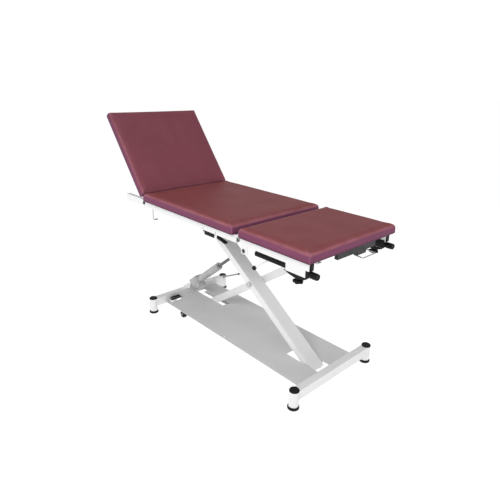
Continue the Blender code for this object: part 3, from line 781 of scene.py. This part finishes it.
knob = bmesh.new()
ball = at(0.300, LEVER_Y, 0.606)
bmesh.ops.create_uvsphere(
    knob, u_segments=28, v_segments=18, radius=0.0112, matrix=Matrix.Translation(ball)
)
aim = (at(0.464, LEVER_Y, 0.726) - ball).normalized()
tube(knob, [ball + aim * 0.008, ball + aim * 0.0135, ball + aim * 0.0165], 0.0062, 16)
put("release_ball", knob, BLACK, "leg_release_lever")

grip = bmesh.new()
soft_box(grip, (MID - 0.0515, MID + 0.0270), (-0.2968, -0.2782), (0.6895, 0.7125), 0.004, 4)
for i in range(RIB_COUNT):
    x = MID - 0.044 + i * RIB_STEP
    soft_box(grip, (x - 0.0014, x + 0.0014), (-0.2976, -0.2774), (0.6905, 0.7115), 0.0006, 1)
put("release_grip", grip, BLACK, "back_release_lever")
for end, x in (("head", -0.058), ("foot", 0.046)):
    tick = bmesh.new()
    x = MID + x
    soft_box(tick, (x - 0.002, x + 0.002), (-0.3008, -0.2992), (0.7060, 0.7300), 0.0006, 1)
    put("grip_bracket_" + end, tick, GREY, "seat_frame")


# ---- small hardware ------------------------------------------------------------------
# A domed head with a hexagon socket: heights, and shares of the head's radius.
SCREW_HEAD = (
    (-0.0006, 0.0), (-0.0006, 1.0), (0.0004, 1.0), (0.0018, 0.86),
    (0.0024, 0.60), (0.0025, 0.46), (0.0010, 0.44), (0.0010, 0.0),
)
COVER_SCREWS = (
    (0.560, -0.195), (0.560, 0.195), (-0.540, -0.200), (-0.540, 0.200), (0.0, -0.200), (0.0, 0.200)
)
COVER_TOP = 0.0600
POST_X, POST_Y = 0.619, 0.293


def screw(name, place, axis, radius, body, look=STEEL, out=1.0):
    """A screw head that faces along its axis, or against it with out = -1."""
    head = [(along * out, radius * share) for along, share in SCREW_HEAD]
    put(name, lathe(bmesh.new(), head, axis, place, 24), look, body, 30.0)


screw("guard_bolt", at(0.258, -0.2999, 0.688), "y", 0.0098, "leg_section", DARK, -1.0)
washer = flat_ring(-0.0012, 0.0004, 0.0098, 0.0122)
washer = lathe(bmesh.new(), washer, "y", at(0.258, -0.3000, 0.688), 28)
put("guard_washer", washer, STEEL, "leg_section")
for i, (x, y) in enumerate(COVER_SCREWS):
    place = at(x, y, COVER_TOP)
    screw("cover_screw_%d" % i, place, "z", 0.0055, "base", WHITE, 1.0)
for side, sy in SIDES:
    place = at(-0.645, sy * 0.3044, 0.737)
    screw("hinge_cap_" + side, place, "y", 0.0078, "seat_frame", DARK, sy)
    place = at(0.2195, sy * 0.3019, 0.752)
    screw("leg_hinge_cap_" + side, place, "y", 0.0068, "seat_frame", WHITE, sy)
    for tag, x in (("foot", POST_X), ("head", -POST_X)):
        ring = flat_ring(0.0978, 0.0994, 0.0242, 0.0250)
        ring = lathe(bmesh.new(), ring, "z", at(x, sy * POST_Y, 0.0), 40)
        put("cap_ring_%s_%s" % (tag, side), ring, BLACK, "base")
screw("arm_pin_screw", at(0.03991, -0.0661, 0.36101), "y", 0.0085, "arm_a", STEEL, -1.0)


# ---- pedals --------------------------------------------------------------------------
TREAD_RIBS, TREAD_STEP = 8, 0.0084

tread = bmesh.new()
soft_box(tread, (MID - 0.5900, MID - 0.5650), (-0.1850, -0.1130), (0.0665, 0.0828), 0.0035, 3)
for i in range(TREAD_RIBS):
    y = -0.178 + i * TREAD_STEP
    rib = (y - 0.0018, y + 0.0018)
    soft_box(tread, (MID - 0.5885, MID - 0.5665), rib, (0.0815, 0.0838), 0.0006, 1)
put("pedal_tread", tread, RUBBER, "transport_pedal")

heel, toe = at(-0.577, 0.268, 0.1065), at(-0.4074, 0.268, 0.1866)
aim = (toe - heel).normalized()
tip = bmesh.new()
tube(tip, [toe - aim * 0.010, toe - aim * 0.009, toe - aim * 0.001, toe + aim * 0.0012], 0.0066, 20)
put("side_pedal_tip", tip, BLACK, "side_pedal")


# ---- floor ---------------------------------------------------------------------------
FLOOR_REACH = 60.0
FLOOR_GLOW = 0.88

bm = bmesh.new()
bmesh.ops.create_grid(bm, x_segments=2, y_segments=2, size=FLOOR_REACH)
mesh = bpy.data.meshes.new("floor")
bm.to_mesh(mesh)
bm.free()
floor = bpy.data.objects.new("floor", mesh)
floor.location = (0.0, 0.0, -0.0005)
scene.collection.objects.link(floor)
ground = Look("floor_paint", 0.9, 0.0, 0.0)
tone = ground.ramp(ground.noise(1.2), ((0.3, (0.26, 0.26, 0.26)), (0.7, (0.28, 0.28, 0.28))))
ground.colour(tone)
ground.shader.inputs["Emission Color"].default_value = (1.0, 1.0, 1.0, 1.0)
ground.shader.inputs["Emission Strength"].default_value = FLOOR_GLOW
mesh.materials.append(ground.material)
